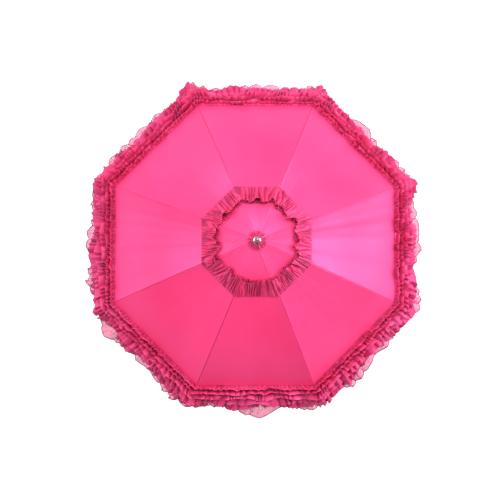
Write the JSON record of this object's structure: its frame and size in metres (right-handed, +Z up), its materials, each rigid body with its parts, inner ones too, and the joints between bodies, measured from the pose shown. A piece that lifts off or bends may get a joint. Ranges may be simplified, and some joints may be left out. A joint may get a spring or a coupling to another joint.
{
  "type": "lace parasol",
  "caption": "Straight parasol with a curved satin canopy, gathered crown and hem ruffles, folding ribs and stretchers on a sliding runner, a steel shaft and a crook handle.",
  "frame": {"origin": "middle of the hand grip, on the shaft's axis", "axes": "+Z up the shaft towards the ferrule; the crook bends towards +X; ribs stand at 22.5 degrees and every 45 degrees from +X"},
  "size_m": [1.0138, 1.0138, 0.837],
  "materials": {
    "satin_cloth": "satin",
    "ruffle_cloth": "satin",
    "rib_steel": "zinc plated",
    "shaft_steel": "plated tube",
    "spring_wire": "drawn wire",
    "chrome_trim": "polished",
    "white_plastic": "moulded",
    "handle_plastic": "polished"
  },
  "bodies": {
    "shaft": {"shaft_tube": "shaft_steel", "ferrule": "chrome_trim", "rosette": "ruffle_cloth", "crown_notch": "white_plastic", "notch_wire": "spring_wire", "crown_washer": "white_plastic", "crook_handle": "handle_plastic", "handle_collar": "chrome_trim"},
    "runner": {"runner": "white_plastic", "runner_wire": "spring_wire"},
    "top_catch": {"top_catch": "spring_wire"},
    "bottom_catch": {"bottom_catch": "spring_wire"},
    "rib_1": {"rib_1": "rib_steel", "ruffles_1": "ruffle_cloth"},
    "canopy_left_1": {"canopy_left_1": "satin_cloth"},
    "canopy_right_1": {"canopy_right_1": "satin_cloth"},
    "stretcher_1": {"stretcher_1": "rib_steel"},
    "rib_2": {"rib_2": "rib_steel", "ruffles_2": "ruffle_cloth"},
    "canopy_left_2": {"canopy_left_2": "satin_cloth"},
    "canopy_right_2": {"canopy_right_2": "satin_cloth"},
    "stretcher_2": {"stretcher_2": "rib_steel"},
    "rib_3": {"rib_3": "rib_steel", "ruffles_3": "ruffle_cloth"},
    "canopy_left_3": {"canopy_left_3": "satin_cloth"},
    "canopy_right_3": {"canopy_right_3": "satin_cloth"},
    "stretcher_3": {"stretcher_3": "rib_steel"},
    "rib_4": {"rib_4": "rib_steel", "ruffles_4": "ruffle_cloth"},
    "canopy_left_4": {"canopy_left_4": "satin_cloth"},
    "canopy_right_4": {"canopy_right_4": "satin_cloth"},
    "stretcher_4": {"stretcher_4": "rib_steel"},
    "rib_5": {"rib_5": "rib_steel", "ruffles_5": "ruffle_cloth"},
    "canopy_left_5": {"canopy_left_5": "satin_cloth"},
    "canopy_right_5": {"canopy_right_5": "satin_cloth"},
    "stretcher_5": {"stretcher_5": "rib_steel"},
    "rib_6": {"rib_6": "rib_steel", "ruffles_6": "ruffle_cloth"},
    "canopy_left_6": {"canopy_left_6": "satin_cloth"},
    "canopy_right_6": {"canopy_right_6": "satin_cloth"},
    "stretcher_6": {"stretcher_6": "rib_steel"},
    "rib_7": {"rib_7": "rib_steel", "ruffles_7": "ruffle_cloth"},
    "canopy_left_7": {"canopy_left_7": "satin_cloth"},
    "canopy_right_7": {"canopy_right_7": "satin_cloth"},
    "stretcher_7": {"stretcher_7": "rib_steel"},
    "rib_8": {"rib_8": "rib_steel", "ruffles_8": "ruffle_cloth"},
    "canopy_left_8": {"canopy_left_8": "satin_cloth"},
    "canopy_right_8": {"canopy_right_8": "satin_cloth"},
    "stretcher_8": {"stretcher_8": "rib_steel"},
    "closure_strap": {"closure_strap": "satin_cloth", "strap_snap": "chrome_trim"}
  },
  "joints": [
    {"name": "runner_slide", "type": "slide", "parent": "shaft", "child": "runner", "axis": [0, 0, -1], "range_m": [0, 0.30404], "deforming": ["top_catch", "bottom_catch"]},
    {"name": "rib_1_fold", "type": "hinge", "parent": "shaft", "child": "rib_1", "pos_m": [0.00831, 0.00344, 0.67], "axis": [-0.3827, 0.9239, 0], "range_deg": [0, 63.1], "deforming": ["ruffles_1"]},
    {"name": "stretcher_1_fold", "type": "hinge", "parent": "rib_1", "child": "stretcher_1", "pos_m": [0.20876, 0.08647, 0.61254], "axis": [0.3827, -0.9239, 0], "range_deg": [0, 120.92]},
    {"name": "canopy_left_1_fold", "type": "hinge", "parent": "rib_1", "child": "canopy_left_1", "pos_m": [0.00831, 0.00344, 0.67], "axis": [-0.6664, -0.5479, -0.5058], "range_deg": [0, 23.25], "deforming": ["canopy_left_1"]},
    {"name": "canopy_right_1_fold", "type": "hinge", "parent": "rib_1", "child": "canopy_right_1", "pos_m": [0.00831, 0.00344, 0.67], "axis": [0.8586, 0.0838, 0.5058], "range_deg": [0, 23.25], "deforming": ["canopy_right_1"]},
    {"name": "rib_2_fold", "type": "hinge", "parent": "shaft", "child": "rib_2", "pos_m": [0.00344, 0.00831, 0.67], "axis": [-0.9239, 0.3827, 0], "range_deg": [0, 63.1], "deforming": ["ruffles_2"]},
    {"name": "stretcher_2_fold", "type": "hinge", "parent": "rib_2", "child": "stretcher_2", "pos_m": [0.08647, 0.20876, 0.61254], "axis": [0.9239, -0.3827, 0], "range_deg": [0, 120.92]},
    {"name": "canopy_left_2_fold", "type": "hinge", "parent": "rib_2", "child": "canopy_left_2", "pos_m": [0.00344, 0.00831, 0.67], "axis": [-0.0838, -0.8586, -0.5058], "range_deg": [0, 23.25], "deforming": ["canopy_left_2"]},
    {"name": "canopy_right_2_fold", "type": "hinge", "parent": "rib_2", "child": "canopy_right_2", "pos_m": [0.00344, 0.00831, 0.67], "axis": [0.5479, 0.6664, 0.5058], "range_deg": [0, 23.25], "deforming": ["canopy_right_2"]},
    {"name": "rib_3_fold", "type": "hinge", "parent": "shaft", "child": "rib_3", "pos_m": [-0.00344, 0.00831, 0.67], "axis": [-0.9239, -0.3827, 0], "range_deg": [0, 63.1], "deforming": ["ruffles_3"]},
    {"name": "stretcher_3_fold", "type": "hinge", "parent": "rib_3", "child": "stretcher_3", "pos_m": [-0.08647, 0.20876, 0.61254], "axis": [0.9239, 0.3827, 0], "range_deg": [0, 120.92]},
    {"name": "canopy_left_3_fold", "type": "hinge", "parent": "rib_3", "child": "canopy_left_3", "pos_m": [-0.00344, 0.00831, 0.67], "axis": [0.5479, -0.6664, -0.5058], "range_deg": [0, 23.25], "deforming": ["canopy_left_3"]},
    {"name": "canopy_right_3_fold", "type": "hinge", "parent": "rib_3", "child": "canopy_right_3", "pos_m": [-0.00344, 0.00831, 0.67], "axis": [-0.0838, 0.8586, 0.5058], "range_deg": [0, 23.25], "deforming": ["canopy_right_3"]},
    {"name": "rib_4_fold", "type": "hinge", "parent": "shaft", "child": "rib_4", "pos_m": [-0.00831, 0.00344, 0.67], "axis": [-0.3827, -0.9239, 0], "range_deg": [0, 63.1], "deforming": ["ruffles_4"]},
    {"name": "stretcher_4_fold", "type": "hinge", "parent": "rib_4", "child": "stretcher_4", "pos_m": [-0.20876, 0.08647, 0.61254], "axis": [0.3827, 0.9239, 0], "range_deg": [0, 120.92]},
    {"name": "canopy_left_4_fold", "type": "hinge", "parent": "rib_4", "child": "canopy_left_4", "pos_m": [-0.00831, 0.00344, 0.67], "axis": [0.8586, -0.0838, -0.5058], "range_deg": [0, 23.25], "deforming": ["canopy_left_4"]},
    {"name": "canopy_right_4_fold", "type": "hinge", "parent": "rib_4", "child": "canopy_right_4", "pos_m": [-0.00831, 0.00344, 0.67], "axis": [-0.6664, 0.5479, 0.5058], "range_deg": [0, 23.25], "deforming": ["canopy_right_4"]},
    {"name": "rib_5_fold", "type": "hinge", "parent": "shaft", "child": "rib_5", "pos_m": [-0.00831, -0.00344, 0.67], "axis": [0.3827, -0.9239, 0], "range_deg": [0, 63.1], "deforming": ["ruffles_5"]},
    {"name": "stretcher_5_fold", "type": "hinge", "parent": "rib_5", "child": "stretcher_5", "pos_m": [-0.20876, -0.08647, 0.61254], "axis": [-0.3827, 0.9239, 0], "range_deg": [0, 120.92]},
    {"name": "canopy_left_5_fold", "type": "hinge", "parent": "rib_5", "child": "canopy_left_5", "pos_m": [-0.00831, -0.00344, 0.67], "axis": [0.6664, 0.5479, -0.5058], "range_deg": [0, 23.25], "deforming": ["canopy_left_5"]},
    {"name": "canopy_right_5_fold", "type": "hinge", "parent": "rib_5", "child": "canopy_right_5", "pos_m": [-0.00831, -0.00344, 0.67], "axis": [-0.8586, -0.0838, 0.5058], "range_deg": [0, 23.25], "deforming": ["canopy_right_5"]},
    {"name": "rib_6_fold", "type": "hinge", "parent": "shaft", "child": "rib_6", "pos_m": [-0.00344, -0.00831, 0.67], "axis": [0.9239, -0.3827, 0], "range_deg": [0, 63.1], "deforming": ["ruffles_6"]},
    {"name": "stretcher_6_fold", "type": "hinge", "parent": "rib_6", "child": "stretcher_6", "pos_m": [-0.08647, -0.20876, 0.61254], "axis": [-0.9239, 0.3827, 0], "range_deg": [0, 120.92]},
    {"name": "canopy_left_6_fold", "type": "hinge", "parent": "rib_6", "child": "canopy_left_6", "pos_m": [-0.00344, -0.00831, 0.67], "axis": [0.0838, 0.8586, -0.5058], "range_deg": [0, 23.25], "deforming": ["canopy_left_6"]},
    {"name": "canopy_right_6_fold", "type": "hinge", "parent": "rib_6", "child": "canopy_right_6", "pos_m": [-0.00344, -0.00831, 0.67], "axis": [-0.5479, -0.6664, 0.5058], "range_deg": [0, 23.25], "deforming": ["canopy_right_6"]},
    {"name": "rib_7_fold", "type": "hinge", "parent": "shaft", "child": "rib_7", "pos_m": [0.00344, -0.00831, 0.67], "axis": [0.9239, 0.3827, 0], "range_deg": [0, 63.1], "deforming": ["ruffles_7"]},
    {"name": "stretcher_7_fold", "type": "hinge", "parent": "rib_7", "child": "stretcher_7", "pos_m": [0.08647, -0.20876, 0.61254], "axis": [-0.9239, -0.3827, 0], "range_deg": [0, 120.92]},
    {"name": "canopy_left_7_fold", "type": "hinge", "parent": "rib_7", "child": "canopy_left_7", "pos_m": [0.00344, -0.00831, 0.67], "axis": [-0.5479, 0.6664, -0.5058], "range_deg": [0, 23.25], "deforming": ["canopy_left_7"]},
    {"name": "canopy_right_7_fold", "type": "hinge", "parent": "rib_7", "child": "canopy_right_7", "pos_m": [0.00344, -0.00831, 0.67], "axis": [0.0838, -0.8586, 0.5058], "range_deg": [0, 23.25], "deforming": ["canopy_right_7"]},
    {"name": "rib_8_fold", "type": "hinge", "parent": "shaft", "child": "rib_8", "pos_m": [0.00831, -0.00344, 0.67], "axis": [0.3827, 0.9239, 0], "range_deg": [0, 63.1], "deforming": ["ruffles_8"]},
    {"name": "stretcher_8_fold", "type": "hinge", "parent": "rib_8", "child": "stretcher_8", "pos_m": [0.20876, -0.08647, 0.61254], "axis": [-0.3827, -0.9239, 0], "range_deg": [0, 120.92]},
    {"name": "canopy_left_8_fold", "type": "hinge", "parent": "rib_8", "child": "canopy_left_8", "pos_m": [0.00831, -0.00344, 0.67], "axis": [-0.8586, 0.0838, -0.5058], "range_deg": [0, 23.25], "deforming": ["canopy_left_8"]},
    {"name": "canopy_right_8_fold", "type": "hinge", "parent": "rib_8", "child": "canopy_right_8", "pos_m": [0.00831, -0.00344, 0.67], "axis": [0.6664, -0.5479, 0.5058], "range_deg": [0, 23.25], "deforming": ["canopy_right_8"]},
    {"name": "strap_hang", "type": "hinge", "parent": "rib_7", "child": "closure_strap", "pos_m": [0.20469, -0.45759, 0.43928], "axis": [-0.9239, -0.3827, 0], "range_deg": [0, 63.1]},
    {"name": "top_catch_press", "type": "slide", "parent": "shaft", "child": "top_catch", "axis": [1, 0, 0], "range_m": [0, 0.0032], "stiffness_N_per_m": 900},
    {"name": "bottom_catch_press", "type": "slide", "parent": "shaft", "child": "bottom_catch", "axis": [1, 0, 0], "range_m": [0, 0.0032], "stiffness_N_per_m": 900}
  ],
  "couplings": [
    {"joint": "rib_1_fold", "follows": "runner_slide", "rad_per_m": 3.6165},
    {"joint": "stretcher_1_fold", "follows": "runner_slide", "rad_per_m": 6.9359},
    {"joint": "canopy_left_1_fold", "follows": "runner_slide", "rad_per_m": 1.329},
    {"joint": "canopy_right_1_fold", "follows": "runner_slide", "rad_per_m": 1.329},
    {"joint": "rib_2_fold", "follows": "runner_slide", "rad_per_m": 3.6165},
    {"joint": "stretcher_2_fold", "follows": "runner_slide", "rad_per_m": 6.9359},
    {"joint": "canopy_left_2_fold", "follows": "runner_slide", "rad_per_m": 1.329},
    {"joint": "canopy_right_2_fold", "follows": "runner_slide", "rad_per_m": 1.329},
    {"joint": "rib_3_fold", "follows": "runner_slide", "rad_per_m": 3.6165},
    {"joint": "stretcher_3_fold", "follows": "runner_slide", "rad_per_m": 6.9359},
    {"joint": "canopy_left_3_fold", "follows": "runner_slide", "rad_per_m": 1.329},
    {"joint": "canopy_right_3_fold", "follows": "runner_slide", "rad_per_m": 1.329},
    {"joint": "rib_4_fold", "follows": "runner_slide", "rad_per_m": 3.6165},
    {"joint": "stretcher_4_fold", "follows": "runner_slide", "rad_per_m": 6.9359},
    {"joint": "canopy_left_4_fold", "follows": "runner_slide", "rad_per_m": 1.329},
    {"joint": "canopy_right_4_fold", "follows": "runner_slide", "rad_per_m": 1.329},
    {"joint": "rib_5_fold", "follows": "runner_slide", "rad_per_m": 3.6165},
    {"joint": "stretcher_5_fold", "follows": "runner_slide", "rad_per_m": 6.9359},
    {"joint": "canopy_left_5_fold", "follows": "runner_slide", "rad_per_m": 1.329},
    {"joint": "canopy_right_5_fold", "follows": "runner_slide", "rad_per_m": 1.329},
    {"joint": "rib_6_fold", "follows": "runner_slide", "rad_per_m": 3.6165},
    {"joint": "stretcher_6_fold", "follows": "runner_slide", "rad_per_m": 6.9359},
    {"joint": "canopy_left_6_fold", "follows": "runner_slide", "rad_per_m": 1.329},
    {"joint": "canopy_right_6_fold", "follows": "runner_slide", "rad_per_m": 1.329},
    {"joint": "rib_7_fold", "follows": "runner_slide", "rad_per_m": 3.6165},
    {"joint": "stretcher_7_fold", "follows": "runner_slide", "rad_per_m": 6.9359},
    {"joint": "canopy_left_7_fold", "follows": "runner_slide", "rad_per_m": 1.329},
    {"joint": "canopy_right_7_fold", "follows": "runner_slide", "rad_per_m": 1.329},
    {"joint": "rib_8_fold", "follows": "runner_slide", "rad_per_m": 3.6165},
    {"joint": "stretcher_8_fold", "follows": "runner_slide", "rad_per_m": 6.9359},
    {"joint": "canopy_left_8_fold", "follows": "runner_slide", "rad_per_m": 1.329},
    {"joint": "canopy_right_8_fold", "follows": "runner_slide", "rad_per_m": 1.329},
    {"joint": "strap_hang", "follows": "runner_slide", "rad_per_m": 3.6165}
  ]
}
